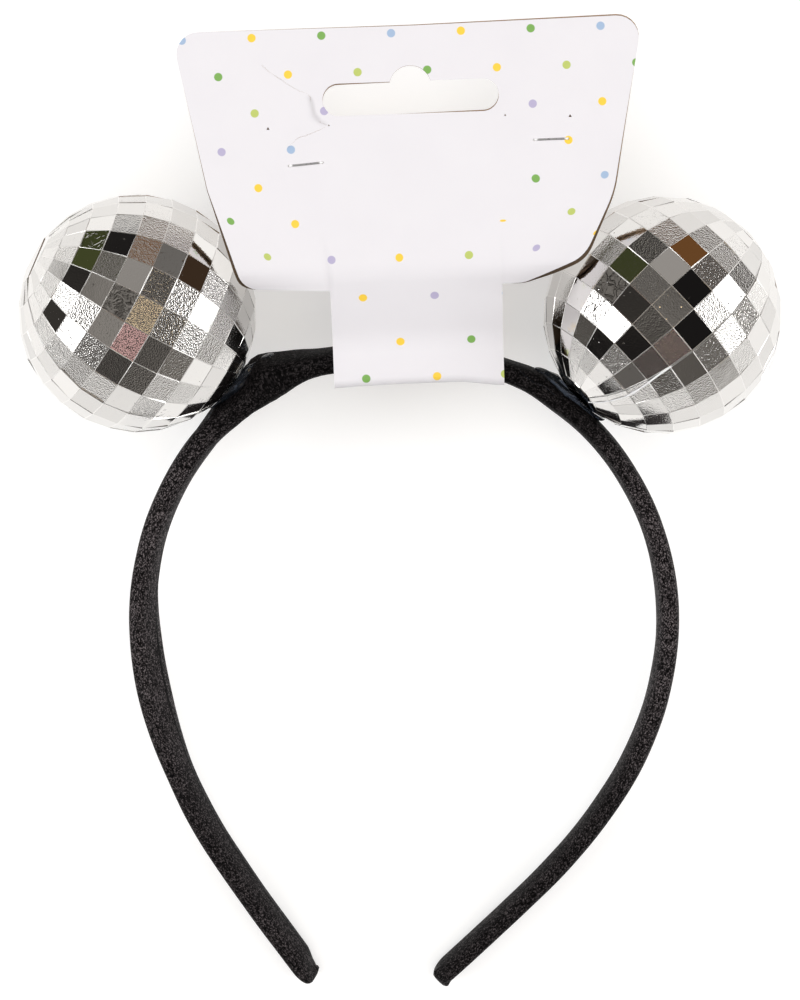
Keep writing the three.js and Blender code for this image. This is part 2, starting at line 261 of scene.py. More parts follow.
def laid(u, v, w):
    """A place in the band's own plane, in mm, where the tilted headband has it, in metres."""
    high = v * math.sin(TILT) + w * math.cos(TILT)
    return Vector((u, v * math.cos(TILT) - w * math.sin(TILT), high)) * MM + SHIFT


def ease(value, low, high):
    """0 before low, 1 after high, smooth between."""
    share = min(1.0, max(0.0, (value - low) / (high - low)))
    return share * share * (3 - 2 * share)


def between(value, start, full, falling, end):
    """0 up to start, 1 from full to falling, and 0 again after end."""
    return ease(value, start, full) * (1 - ease(value, falling, end))


def chain_length(arcs):
    return sum(radius * math.radians(sweep) for radius, sweep in arcs)


def band_point(along):
    """The band's middle line at a distance from the crown, left negative, and which way is outward."""
    turn = 1 if along < 0 else -1
    heading = math.pi if along < 0 else 0.0
    x, y, rest = CROWN_X, CROWN_Y, abs(along)
    for radius, sweep in LEFT_ARCS if along < 0 else RIGHT_ARCS:
        run = min(rest, radius * math.radians(sweep))
        ahead = heading + turn * run / radius
        x += turn * radius * (math.sin(ahead) - math.sin(heading))
        y -= turn * radius * (math.cos(ahead) - math.cos(heading))
        heading = ahead
        rest -= run
    return x, y, turn * math.sin(heading), -turn * math.cos(heading)


def band_section(along):
    """The strip's thickness and lean between two rows of the section table."""
    last = len(BAND_SECTIONS) - 1
    index = max(1, next((i for i, row in enumerate(BAND_SECTIONS) if row[0] > along), last))
    (start, thick, lean), (end, next_thick, next_lean) = BAND_SECTIONS[index - 1:index + 1]
    share = ease(along, start, end)
    return thick + (next_thick - thick) * share, math.radians(lean + (next_lean - lean) * share)


def squared(part):
    """A cosine or sine, pushed out so that the strip's section is a rectangle with round corners."""
    return math.copysign(abs(part) ** SECTION_ROUNDING, part)


def crowded(share):
    """The ribbon's cells crowd together towards the tips."""
    return share - RIBBON_CROWDING * math.sin(2 * math.pi * share)


def ribbon_relief(along, around, angle):
    """How far the ribbon stands off the strip: overlap, unevenness, and wrinkles at the left shoulder."""
    clear_of_card = ease(abs(along), *CARD_COVERS)
    lift = SEAM_STEP * clear_of_card * ease(around, 0.86, 0.985) * (around < 0.9999)
    spot = Vector((along * 0.09, 3 * math.cos(angle), 3 * math.sin(angle)))
    lift += RIBBON_UNEVEN * clear_of_card * noise.noise(spot)
    shoulder = between(along, *WRINKLED) * max(0.0, -math.cos(angle - 0.3))
    return lift + WRINKLE_HEIGHT * shoulder * math.sin(along * 1.55 + 1.2 * math.sin(angle))


def shoulder_shift(along):
    """How far the band stands further out beside the card."""
    side = "left" if along < 0 else "right"
    return SHOULDER_OUT[side] * between(abs(along), *SHOULDER_SPAN[side])


def shoulder_fill(along):
    """How much fuller the ribbon is on its outer face, where it is bunched up beside the balls."""
    side = "left" if along < 0 else "right"
    off_middle = (abs(along) - SHOULDER_AT[side]) / SHOULDER_REACH[side]
    return BUNCHED * between(-along, *BUNCHED_SPAN) + SHOULDER_BULGE[side] * math.exp(-off_middle ** 2)


def tip_relief(along, angle):
    """The folds of the ribbon where it is tucked in at the tips."""
    lift = 0.0
    for fold in TIP_FOLDS:
        place = band_start + fold["in"] if fold["tip"] == "left" else band_end - fold["in"]
        turn = angle - math.radians(fold["angle"])
        turn = math.atan2(math.sin(turn), math.cos(turn))
        lift += fold["lift"] * math.exp(-((along - place) ** 2 + (turn * 3.2) ** 2) / fold["reach"] ** 2)
    return lift


band_start = -chain_length(LEFT_ARCS)
band_end = chain_length(RIGHT_ARCS)
bpy.ops.mesh.primitive_grid_add(
    x_subdivisions=RIBBON_CELLS_ALONG, y_subdivisions=RIBBON_CELLS_AROUND, size=1.0, calc_uvs=True
)
band = bpy.context.object
band.name = "satin_band"
girth = [0.0]
for i in range(RIBBON_CELLS_AROUND):
    turns = [math.radians(SEAM_ANGLE) + 2 * math.pi * (i + step) / RIBBON_CELLS_AROUND for step in (0, 1)]
    ends = [(squared(math.cos(t)) * USUAL_THICK / 2, squared(math.sin(t)) * BAND_WIDTH / 2) for t in turns]
    girth.append(girth[-1] + math.dist(*ends))
for corner in band.data.uv_layers["UVMap"].data:
    corner.uv = (crowded(corner.uv.x), girth[round(corner.uv.y * RIBBON_CELLS_AROUND)] / girth[-1])
for point in band.data.vertices:
    around = point.co.y + 0.5
    along = band_start + TIP_CLEAR + (band_end - band_start - 2 * TIP_CLEAR) * crowded(point.co.x + 0.5)
    x, y, out_x, out_y = band_point(along)
    thick, lean = band_section(along)
    to_tip = min(along - band_start, band_end - along, TIP_ROUND) / TIP_ROUND
    rounded = math.sqrt(1 - (1 - to_tip) ** 2)
    angle = math.radians(SEAM_ANGLE) + 2 * math.pi * around
    c, s = math.cos(angle), math.sin(angle)
    lift = ribbon_relief(along, around, angle) * to_tip + tip_relief(along, angle)
    half_thick = (TIP_THIN + (1 - TIP_THIN) * rounded) * thick / 2 + lift
    half_width = (TIP_NARROW + (1 - TIP_NARROW) * rounded) * BAND_WIDTH / 2 + lift
    deep = squared(c) * half_thick + shoulder_fill(along) * ease(c, 0.0, 0.5)
    wide = squared(s) * half_width
    ahead = 0.0
    if along < 0:
        to_end = along - band_start
        deep += TIP_TAPER * (1 - ease(to_end, 1.0, 6.5)) * ease(-c, 0.0, 0.6)
        ahead = TIP_DRAWN_OUT * (1 - ease(to_end, 0.0, 4.0))
    out = deep * math.cos(lean) - wide * math.sin(lean) + shoulder_shift(along)
    up = deep * math.sin(lean) + wide * math.cos(lean)
    point.co = laid(x + out_x * out - out_y * ahead, y + out_y * out + out_x * ahead, up)
bpy.ops.object.mode_set(mode="EDIT")
bpy.ops.mesh.select_all(action="SELECT")
bpy.ops.mesh.remove_doubles(threshold=0.02 * MM)
bpy.ops.mesh.select_mode(type="EDGE")
bpy.ops.mesh.select_all(action="DESELECT")
bpy.ops.mesh.select_non_manifold(extend=False)
bpy.ops.mesh.fill_holes(sides=0)
bpy.ops.mesh.select_all(action="SELECT")
bpy.ops.mesh.normals_make_consistent(inside=False)
bpy.ops.object.mode_set(mode="OBJECT")
bpy.ops.object.shade_smooth_by_angle(angle=math.radians(50))


def bumped(tree, relief, strength, deep):
    """The normals of a relief that is so many mm deep."""
    sockets = {"Height": relief, "Strength": strength, "Distance": deep * MM}
    return add_node(tree, "Bump", sockets).outputs["Normal"]


satin, tree, shader = new_material("black_satin", Specular_IOR_Level=0.05)
ribbon = add_node(tree, "UVMap", uv_map="UVMap").outputs["UV"]
size = (band_end - band_start, RIBBON_AROUND, 1.0)
cloth = add_node(tree, "VectorMath", {0: ribbon, 1: size}, operation="MULTIPLY").outputs["Vector"]
fine = (1 / SATIN_FLOAT[0], 1 / SATIN_FLOAT[1], 1)
slant = {"Vector": cloth, "Rotation": (0, 0, SATIN_SLANT), "Scale": fine}
floats = add_node(tree, "Mapping", slant).outputs["Vector"]
yarn = add_node(tree, "TexVoronoi", {"Vector": floats, "Scale": 1.0}, voronoi_dimensions="2D")
yarn = numbers(tree, yarn.outputs["Color"])["X"]
broad = cloudy(tree, cloth, 0.11, 2.0)
run, around = numbers(tree, ribbon)[:2]
signed = calc(tree, "MULTIPLY_ADD", run, size[0], band_start)
along = calc(tree, "ABSOLUTE", signed)
# Each weave float takes a random tone; the brightest are painted glints, standing in for light caught by the
# satin.
glint = calc(tree, "POWER", yarn, 3.8)
tone = mix_colours(tree, glint, (0.0014, 0.0012, 0.0013), (0.158, 0.138, 0.143))
# Painted sheen and shade: the inner face is painted flatter, lighter on the left leg, where the satin's
# sheen shows, and darker on the right leg.
inner_face = product(tree, remap(tree, around, 0.72, 0.80, smooth=True), 0.15)
on_left = calc(tree, "LESS_THAN", signed, 0.0)
inner_sheen_and_shade = mix_colours(tree, on_left, (0.009, 0.008, 0.0083), (0.030, 0.0268, 0.0277))
tone = mix_colours(tree, inner_face, tone, inner_sheen_and_shade)
# Painted light and shade: the satin is painted darker at the crown and on the lower legs, most on the right
# leg, where less light falls; a broad noise also varies its tone at random.
lit = product(
    tree, remap(tree, along, 37, 75, 0.20, 1.0, smooth=True), remap(tree, along, 112, 145, 1.0, 0.56),
    remap(tree, signed, 105, 140, 1.0, 0.75), remap(tree, broad, 0.3, 0.7, 0.88, 1.08),
)
tone = mix_colours(tree, lit, SATIN_SHADE_BLACK, tone)
# Painted shadow: a dark line on the inner face beside the ribbon's overlap, where its lip shades it, on the
# left leg only.
lip_shadow = product(
    tree, remap(tree, around, *LIP_SHADOW_SPAN[:2]), remap(tree, around, *LIP_SHADOW_SPAN[2:], 1.0, 0.0),
    remap(tree, signed, -75, -55, 0.9, 0.0),
)
tone = mix_colours(tree, lip_shadow, tone, LIP_SHADOW_BLACK)
dull = remap(tree, yarn, 0.0, 1.0, 0.66, 0.46)
dress(tree, shader, Base_Color=tone, Roughness=dull, Normal=bumped(tree, yarn, 0.5, 0.05))
band.data.materials.append(satin)
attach(band, "root")
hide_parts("band")

# Mirror balls: hollow plastic shells, moulded with flat square tiles and coated with a bright metal film.
# Each is two halves that meet at a parting seam; the tiles lean a little and some are hammered and grainy.
BALL_RADIUS = 27.5
BALL_WALL = 1.2
SEAM_GAP = 0.3
SEAM_BEAD = 0.11
TILES_ROUND = 24
TILE_ROWS = 14
TILE_RISE = 0.02
TILE_GROOVE = 0.11
TILE_LEAN = 0.018
TILE_SMOOTH = (0.034, 0.044)
GROOVE_DULL = (0.032, 0.046)
BALLS = [
    {"side": "left", "x": -61.4, "y": 44.3, "pole_turn": 150, "pole_rise": 12, "seam_turn": 45, "seed": 745},
    {"side": "right", "x": 60.1, "y": 43.8, "pole_turn": 42, "pole_rise": -12, "seam_turn": -74, "seed": 9},
]


def pick(piece, kind, wanted):
    """Opens a piece for editing with only the wanted points, edges or faces selected."""
    bpy.ops.object.mode_set(mode="EDIT")
    bpy.ops.mesh.select_mode(type=kind)
    bpy.ops.mesh.select_all(action="DESELECT")
    bpy.ops.object.mode_set(mode="OBJECT")
    mesh = piece.data
    for part in {"VERT": mesh.vertices, "EDGE": mesh.edges, "FACE": mesh.polygons}[kind]:
        part.select = wanted(part)
    bpy.ops.object.mode_set(mode="EDIT")


def ball_frame(ball):
    """Where a ball sits and how it is turned: seam normal along Y, pole along Z."""
    turn, rise = math.radians(ball["pole_turn"]), math.radians(ball["pole_rise"])
    pole = Vector((math.cos(rise) * math.cos(turn), math.cos(rise) * math.sin(turn), math.sin(rise)))
    facing = Vector((0, 0, 1))
    facing = (facing - pole * facing.dot(pole)).normalized()
    facing.rotate(Matrix.Rotation(math.radians(ball["seam_turn"]), 3, pole))
    axes = Matrix((facing.cross(pole), facing, pole)).transposed().to_4x4()
    return Matrix.Translation(laid(ball["x"], ball["y"], 0)) @ Matrix.Rotation(TILT, 4, "X") @ axes


def select_only(piece):
    """Makes a piece the only one selected, and the active one."""
    bpy.ops.object.select_all(action="DESELECT")
    piece.select_set(True)
    bpy.context.view_layer.objects.active = piece


def wire_mesh(name, places, radius, swell=None, closed=False):
    """A thin round wire through places, as a mesh; swell makes it thicker at some of them."""
    line = bpy.data.curves.new(name, "CURVE")
    line.dimensions = "3D"
    line.bevel_depth = radius
    line.bevel_resolution = 2
    line.use_fill_caps = True
    spline = line.splines.new("POLY")
    spline.points.add(len(places) - 1)
    spline.use_cyclic_u = closed
    for i, place in enumerate(places):
        spline.points[i].co = (*place, 1)
        spline.points[i].radius = swell[i] if swell else 1.0
    wire = bpy.data.objects.new(name, line)
    bpy.context.scene.collection.objects.link(wire)
    select_only(wire)
    bpy.ops.object.convert(target="MESH")
    return bpy.context.object


def join_to(piece, others):
    """Makes other meshes part of a piece."""
    select_only(piece)
    for part in others:
        part.select_set(True)
    bpy.ops.object.join()


def tile_order(tile):
    """The tiles are taken row by row from the pole, and round the pole in each row."""
    place = tile.center
    row = int(math.atan2(math.hypot(place.x, place.y), place.z) * TILE_ROWS / math.pi)
    return row, math.atan2(place.y, place.x)


def half_ball(name, ball, side, draw):
    """One half shell: tiles between fine grooves, each leaning its own way, and a bead at the seam."""
    radius = (BALL_RADIUS - TILE_RISE) * MM
    bpy.ops.mesh.primitive_uv_sphere_add(segments=TILES_ROUND, ring_count=TILE_ROWS, radius=radius)
    half = bpy.context.object
    half.name = name
    pick(half, "VERT", lambda point: abs(point.co.z) > 0.999 * radius)
    bpy.ops.mesh.dissolve_verts()
    bpy.ops.mesh.select_all(action="SELECT")
    seam = side * SEAM_GAP / 2 * MM
    bpy.ops.mesh.bisect(plane_co=(0, seam, 0), plane_no=(0, side, 0), clear_inner=True)
    bpy.ops.object.mode_set(mode="OBJECT")
    rim = [point.co.copy() for point in half.data.vertices if abs(point.co.y - seam) < 0.001 * MM]
    rim.sort(key=lambda place: math.atan2(place.z, place.x))
    bpy.ops.object.mode_set(mode="EDIT")
    bpy.ops.mesh.select_all(action="SELECT")
    bpy.ops.mesh.inset(thickness=TILE_GROOVE * MM, depth=TILE_RISE * MM, use_individual=True)
    bpy.ops.object.mode_set(mode="OBJECT")
    shell = half.data
    keys = ("tile_face", "tile_grain", "tile_tone", "tile_dent")
    for key in keys:
        shell.attributes.new(key, "FLOAT", "FACE")
    finish = {key: shell.attributes[key].data for key in keys}
    for tile in sorted((face for face in shell.polygons if face.select), key=tile_order):
        lean = Vector((draw.gauss(0, TILE_LEAN), draw.gauss(0, TILE_LEAN), draw.gauss(0, TILE_LEAN)))
        for index in tile.vertices:
            point = shell.vertices[index]
            point.co += tile.normal * lean.dot(point.co - tile.center)
        finish["tile_face"][tile.index].value = 1.0
        for key in keys[1:]:
            finish[key][tile.index].value = draw.random()
    bpy.ops.object.modifier_add(type="SOLIDIFY")
    half.modifiers[-1].thickness = BALL_WALL * MM
    half.modifiers[-1].offset = -1
    bpy.ops.object.modifier_apply(modifier=half.modifiers[-1].name)
    bpy.ops.object.shade_flat()
    if side > 0:
        join_to(half, [wire_mesh("seam_bead", rim, SEAM_BEAD * MM, closed=True)])
    half.matrix_world = ball_frame(ball)
    bpy.ops.object.transform_apply()
    return half


mirror_film, tree, shader = new_material("mirror_film", Metallic=1.0)
place = add_node(tree, "TexCoord").outputs["Object"]
tile, grainy, tone, dented = (
    add_node(tree, "Attribute", attribute_name=key).outputs["Fac"]
    for key in ("tile_face", "tile_grain", "tile_tone", "tile_dent")
)
height = numbers(tree, place)["Z"]
on_top = remap(tree, height, *TILE_SMOOTH, 0.25, 1.0, smooth=True)
hammered = product(tree, remap(tree, grainy, 0.36, 0.78), tile, on_top)
dents = product(tree, remap(tree, dented, 0.80, 0.95), on_top)
grain = cloudy(tree, place, 3000.0, 2.5, Roughness=0.6)
pits = add_node(tree, "TexVoronoi", {"Vector": place, "Scale": 3000.0}).outputs["Distance"]
pits = calc(tree, "POWER", pits, 2.0)
ripple = cloudy(tree, place, 300.0, 1.0)
crumple = calc(tree, "SUBTRACT", cloudy(tree, place, 430.0, 2.0, Distortion=0.8), 0.5)
crumple = calc(tree, "ABSOLUTE", crumple)
crumple = remap(tree, crumple, 0.0, 0.12, 1.0, 0.0)
speck = add_node(tree, "TexVoronoi", {"Vector": place, "Scale": 620.0})
kept = calc(tree, "GREATER_THAN", numbers(tree, speck.outputs["Color"])["X"], 0.62)
fleck = product(tree, remap(tree, speck.outputs["Distance"], 0.0, 0.16, 1.0, 0.0), kept)
hammer = calc(tree, "ADD", product(tree, grain, 0.25), product(tree, pits, 0.85))
relief = product(tree, hammer, calc(tree, "MULTIPLY_ADD", hammered, 0.94, 0.06))
for mark, shown, deep in ((ripple, on_top, 0.12), (crumple, dents, 0.36), (fleck, on_top, 0.30)):
    relief = calc(tree, "MULTIPLY_ADD", product(tree, mark, shown), deep, relief)
smooth = remap(tree, hammered, 0.0, 1.0, 0.05, 0.22)
in_groove = remap(tree, height, *GROOVE_DULL, 0.12, 0.42)
film = mix_colours(tree, tone, (0.620, 0.607, 0.590), (0.790, 0.775, 0.755))
film = mix_colours(tree, tile, (0.810, 0.797, 0.778), film)
dull = remap(tree, tile, 0.0, 1.0, in_groove, smooth)
dress(tree, shader, Base_Color=film, Roughness=dull, Normal=bumped(tree, relief, 1.0, 0.065))

for ball in BALLS:
    draw = random.Random(ball["seed"])
    for half_name, side in (("front", 1), ("back", -1)):
        half = half_ball(f"mirror_ball_{ball['side']}_{half_name}", ball, side, draw)
        half.data.materials.append(mirror_film)
        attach(half, "root")
        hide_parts(f"ball_{ball['side']}_{half_name}")

# Glue: a bead of clear hot-melt squeezed between each ball and the band, with fine threads drawn off it.
# It sets glassy and faintly blue; it is shaped by what it touches.
GLUE_LENGTH = 20.5
GLUE_DEPTH = 4.4
GLUE_WIDTH = 7.2
GLUE_TO_CROWN = {"left": 6.0, "right": 4.0}
GLUE_CLEAR = 0.06
GLUE_LUMPS = 0.22
THREAD_RADIUS = 0.045
SEAM_THREAD = {"side": "right", "from": 205, "to": 262, "sag": 0.09, "radius": 0.25}
GLUE_THREADS = [
    {"side": "left", "at": [(-45.0, 20.2, 5.9), (-43.8, 22.8, 6.6), (-42.0, 24.6, 6.6), (-40.4, 25.4, 5.9)]},
    {"side": "right", "at": [(35.2, 25.6, 5.2), (32.6, 27.8, 5.2), (30.4, 28.6, 5.1), (27.0, 31.4, 5.0)]},
]


def nearest_along(ball):
    """The place on the band that is nearest a ball."""
    side = math.copysign(1, ball["x"])
    places = [side * (10 + 0.5 * i) for i in range(220)]
    return min(places, key=lambda a: math.hypot(band_point(a)[0] - ball["x"], band_point(a)[1] - ball["y"]))


def cut_away(piece, cutter):
    """Takes a cutter's shape out of a piece, and removes the cutter."""
    select_only(piece)
    bpy.ops.object.modifier_add(type="BOOLEAN")
    cut = piece.modifiers[-1]
    cut.object = cutter
    cut.operation = "DIFFERENCE"
    cut.solver = "EXACT"
    bpy.ops.object.modifier_apply(modifier=cut.name)
    bpy.data.objects.remove(cutter)


def turn_outward():
    """Turns all faces of the active piece outward."""
    bpy.ops.object.mode_set(mode="EDIT")
    bpy.ops.mesh.select_all(action="SELECT")
    bpy.ops.mesh.normals_make_consistent(inside=False)
    bpy.ops.object.mode_set(mode="OBJECT")


def smooth_path(points, steps=8):
    """Points on a smooth line through the given ones."""
    ends = [points[0], *points, points[-1]]
    path = []
    for a, b, c, d in zip(ends, ends[1:], ends[2:], ends[3:]):
        for step in range(steps):
            t = step / steps
            path.append(tuple(
                0.5 * (2 * q + (r - p) * t + (2 * p - 5 * q + 4 * r - s) * t * t
                       + (3 * q - p - 3 * r + s) * t ** 3)
                for p, q, r, s in zip(a, b, c, d)
            ))
    return path + [tuple(points[-1])]


clear_glue, tree, shader = new_material(
    "clear_hot_melt", Base_Color=(0.060, 0.072, 0.095, 1), Transmission_Weight=0.85, IOR=1.48
)
place = add_node(tree, "TexCoord").outputs["Object"]
lumps = cloudy(tree, place, 380.0, 3.0, Distortion=0.8)
dull = remap(tree, lumps, 0.4, 0.7, 0.03, 0.14)
dress(tree, shader, Roughness=dull, Normal=bumped(tree, lumps, 0.7, 0.35))

# The seam thread is painted whitish, a painted highlight for the light it catches; its gloss adds real
# highlights too.
pulled_glue, tree, shader = new_material("pulled_hot_melt", Specular_IOR_Level=0.8)
place = add_node(tree, "TexCoord").outputs["Object"]
drawn = cloudy(tree, place, 900.0, 2.0)
painted_glint_white = mix_colours(tree, drawn, (0.70, 0.71, 0.73), (0.93, 0.93, 0.94))
dress(tree, shader, Base_Color=painted_glint_white, Roughness=remap(tree, drawn, 0.3, 0.7, 0.12, 0.30))

for ball in BALLS:
    along = nearest_along(ball) - math.copysign(GLUE_TO_CROWN[ball["side"]], ball["x"])
    x, y, out_x, out_y = band_point(along)
    reach = math.hypot(ball["x"] - x, ball["y"] - y)
    middle = (reach - BALL_RADIUS + band_section(along)[0] / 2) / 2
    bpy.ops.mesh.primitive_uv_sphere_add(segments=56, ring_count=36, radius=0.5)
    glue = bpy.context.object
    glue.name = f"glue_bead_{ball['side']}"
    for point in glue.data.vertices:
        lump = 1 + GLUE_LUMPS * noise.noise(point.co * 5.0 + Vector((ball["x"], 0, 0)))
        run, out = point.co.x * GLUE_LENGTH, middle + point.co.y * GLUE_DEPTH * lump
        wide = point.co.z * GLUE_WIDTH * lump
        point.co = laid(x + out_x * out + out_y * run, y + out_y * out - out_x * run, wide)
    turn_outward()
    radius, centre = (BALL_RADIUS + GLUE_CLEAR) * MM, laid(ball["x"], ball["y"], 0)
    bpy.ops.mesh.primitive_uv_sphere_add(segments=96, ring_count=60, radius=radius, location=centre)
    cut_away(glue, bpy.context.object)
    strip = band.copy()
    strip.data = band.data.copy()
    bpy.context.scene.collection.objects.link(strip)
    cut_away(glue, strip)
    threads = []
    for thread in GLUE_THREADS:
        if thread["side"] == ball["side"]:
            path = [laid(*point) for point in smooth_path(thread["at"])]
            threads.append(wire_mesh("glue_thread", path, THREAD_RADIUS * MM))
    if SEAM_THREAD["side"] == ball["side"]:
        shares = [i / 40 for i in range(41)]
        angles = [math.radians(SEAM_THREAD["from"] * (1 - t) + SEAM_THREAD["to"] * t) for t in shares]
        turned = ball_frame(ball)
        path = []
        for share, angle in zip(shares, angles):
            way = turned.to_3x3() @ Vector((math.cos(angle), 0, math.sin(angle)))
            way.y -= SEAM_THREAD["sag"] * ease(share, 0.02, 0.52)
            path.append(turned.translation + way.normalized() * BALL_RADIUS * MM)
        swell = [
            0.95 - 0.45 * ease(t, 0.2, 0.5) + 0.25 * noise.noise(Vector((9 * t, 0, 0)))
            + 0.7 * math.exp(-((t - 0.4) / 0.05) ** 2)
            for t in shares
        ]
        threads.append(wire_mesh("seam_thread", path, SEAM_THREAD["radius"] * MM, swell))
    glue.data.materials.clear()
    glue.data.materials.append(clear_glue)
    for thread in threads:
        thread.data.materials.clear()
        thread.data.materials.append(pulled_glue if thread.name.startswith("seam") else clear_glue)
    join_to(glue, threads)
    bpy.ops.object.shade_smooth_by_angle(angle=math.radians(40))
    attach(glue, "root")
    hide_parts(f"glue_{ball['side']}")

# Hanging card: a sheet of board, white and printed with small dots outside, brown inside, folded round the
# crown. Its leaves meet above, stapled, the lower corners pushed up by the balls; a slot takes a hook.
# Sizes are in the card's own measure: x from its middle line, y from the crown's centre upwards.
CARD_THICK = 0.5
CARD_X = 4.4
CARD_YAW = math.radians(2.0)
TONGUE_LEFT = -20.1
TONGUE_RIGHT = 19.1
TONGUE_TOP = 51.4
FRONT_LEFT = [(-53.5, 110, 5), (-46.8, 74.8, 12), (-39.5, 52.1, 5), (TONGUE_LEFT, TONGUE_TOP - 0.4, 0.5)]
FRONT_RIGHT = [
    (TONGUE_RIGHT, TONGUE_TOP, 0.5), (24, 51.5, 6), (37.7, 57.2, 9), (44.7, 71.2, 25),
    (52.3, 110.5, 5), (0, 109.8, 400),
]
BACK_LEFT = [(0, 110, 400), (-53.5, 110, 5), (-47, 74.8, 12), (-40, 51.9, 5), (TONGUE_LEFT, TONGUE_TOP, 0.5)]
BACK_RIGHT = [
    (TONGUE_RIGHT, TONGUE_TOP, 0.5), (24, 51.1, 6), (38.3, 56.7, 9), (45.1, 71.2, 25), (52.3, 110.85, 5),
]
CORNER_LIFT = 0.008
CORNER_CURLS = [
    {"way": (-0.707, -0.707), "from": -28.0, "drawn": (-0.707, -0.707), "by": 1.72, "power": 2.0},
    {"way": (0.57, -0.82), "from": -46.0, "drawn": (0.66, -0.87), "by": 0.525, "power": 3.8},
]
LOOP_BOTTOM = 26.9
LOOP_HALF = 6.3
LOOP_CORNER = 1.8
LOOP_TOP = 39.0
LEAVES_MEET = 55.0
LEAVES_HEIGHT = 13.0
LEAVES_APART = 0.4
LEAF_BEND = 14.0
LEAF_WAVE = 0.35
FOLD_ARCH = 1.8
FOLD_ARCH_RIGHT = 0.75
PRINT_END = 18.0
BLANK_TOP = 112.0
SLOT_X = -0.3
SLOT_Y = 93.9
SLOT_HALF = 19.8
SLOT_HEIGHT = 7.2
SLOT_BUMP = 4.7
SLOT_BUMP_SUNK = 1.2
BACK_SLOT_TURN = math.radians(0.8)
BACK_SLOT_LESS = 0.1
STAPLE_LENGTH = 8.0
STAPLE_WIRE = 0.46
HOLE_CLEAR = 0.08
CUT_DEPTH = 4.0
STAPLES = [
    {"side": "left", "x": -24.4, "y": 79.8, "turn": math.radians(3.8)},
    {"side": "right", "x": 31.0, "y": 83.5, "turn": 0.0},
]
OLD_HOLES = [(-32.6, 88.0, 0.42), (20.8, 89.2, 0.30), (35.4, 88.5, 0.42), (-18.9, 88.3, 0.26)]
TEARS = [
    [(-33.4, 102.2), (-31.8, 100.6), (-29.4, 99.0), (-25.7, 96.4), (-23.3, 95.4), (-22.7, 93.9)],
    [(-21.0, 89.3), (-20.1, 88.7), (-19.3, 88.4)],
    [(-19.6, 88.1), (-20.5, 87.6), (-23.9, 86.3), (-26.2, 85.5), (-28.5, 83.4)],
]
TEAR_WIDTH = 0.11
TEAR_RAGGED = 0.16
SCORE_STEP = 2.6
CURL_STEP = 0.3
CURL_RISE = 0.24
SCORE_DEPTH = 0.26
TEAR_CURL = [(-23.1, 95.0), (-22.7, 93.9), (-22.1, 90.7), (-20.8, 89.1), (-19.8, 88.6)]
PRINT_SPAN = 240.0
PRINT_MIDDLE = 3.3
TONGUE_STRETCH = 0.043
TONGUE_EDGE_DRAWN = 0.7
LEAF_STRETCH = 0.032
LEAF_DRAWN = 0.35
LEAF_DRAWN_TO = (58, 84)


def rounded(before, corner, after, radius, steps=7):
    """Points on the arc that rounds a corner."""
    back, ahead = (before - corner).normalized(), (after - corner).normalized()
    half = back.angle(ahead) / 2
    middle = corner + (back + ahead).normalized() * radius / math.sin(half)
    start = corner + back * radius / math.tan(half) - middle
    end = corner + ahead * radius / math.tan(half) - middle
    sweep = math.atan2(start.x * end.y - start.y * end.x, start.dot(end))
    return [middle + Matrix.Rotation(sweep * i / steps, 2) @ start for i in range(steps + 1)]


def round_corners(corners, closed):
    """A line with every corner rounded; a row is x, y and the corner's radius."""
    places = [Vector(corner[:2]) for corner in corners]
    line = []
    for i, (x, y, radius) in enumerate(corners):
        if radius == 0 or (not closed and i in (0, len(corners) - 1)):
            line.append(places[i])
        else:
            line += rounded(places[i - 1], places[i], places[(i + 1) % len(places)], radius)
    return line


front, back = LEAVES_HEIGHT + LEAVES_APART, LEAVES_HEIGHT - LEAVES_APART
profile = round_corners([
    (BLANK_TOP, front, 0), (LEAVES_MEET, front, LEAF_BEND), (LOOP_TOP, LOOP_HALF, LEAF_BEND),
    (LOOP_BOTTOM, LOOP_HALF, LOOP_CORNER), (LOOP_BOTTOM, -LOOP_HALF, LOOP_CORNER),
    (LOOP_TOP, -LOOP_HALF, LEAF_BEND / 2), (LEAVES_MEET, back, LEAF_BEND / 2), (BLANK_TOP, back, 0),
], False)
profile_runs = [0.0]
for a, b in zip(profile, profile[1:]):
    profile_runs.append(profile_runs[-1] + (b - a).length)
profile_turns = []
for a, b in zip([profile[0], *profile], [*profile[1:], profile[-1]]):
    way = (b - a).normalized()
    profile_turns.append(Vector((way.y, -way.x)))
BLANK_BOTTOM = BLANK_TOP - profile_runs[-1]


def on_blank(y, back=False):
    """A height on the front or back leaf, as a height on the flat blank."""
    line = profile[::-1] if back else profile
    run = 0.0
    for a, b in zip(line, line[1:]):
        if b.x <= y:
            run += (b - a).length * (a.x - y) / (a.x - b.x)
            break
        run += (b - a).length
    return BLANK_BOTTOM + run if back else BLANK_TOP - run


def corner_reach(curl, x, y):
    """How far a place lies out on a pushed-up corner."""
    return max(0.0, x * curl["way"][0] + y * curl["way"][1] - curl["from"])


def fold_arch(x):
    """How far the fold under the band is raised, as the band is."""
    if x < 0:
        return FOLD_ARCH - 0.5 * (x / TONGUE_LEFT) ** 2
    return FOLD_ARCH - (FOLD_ARCH - FOLD_ARCH_RIGHT) * ease(x, 8, TONGUE_RIGHT)


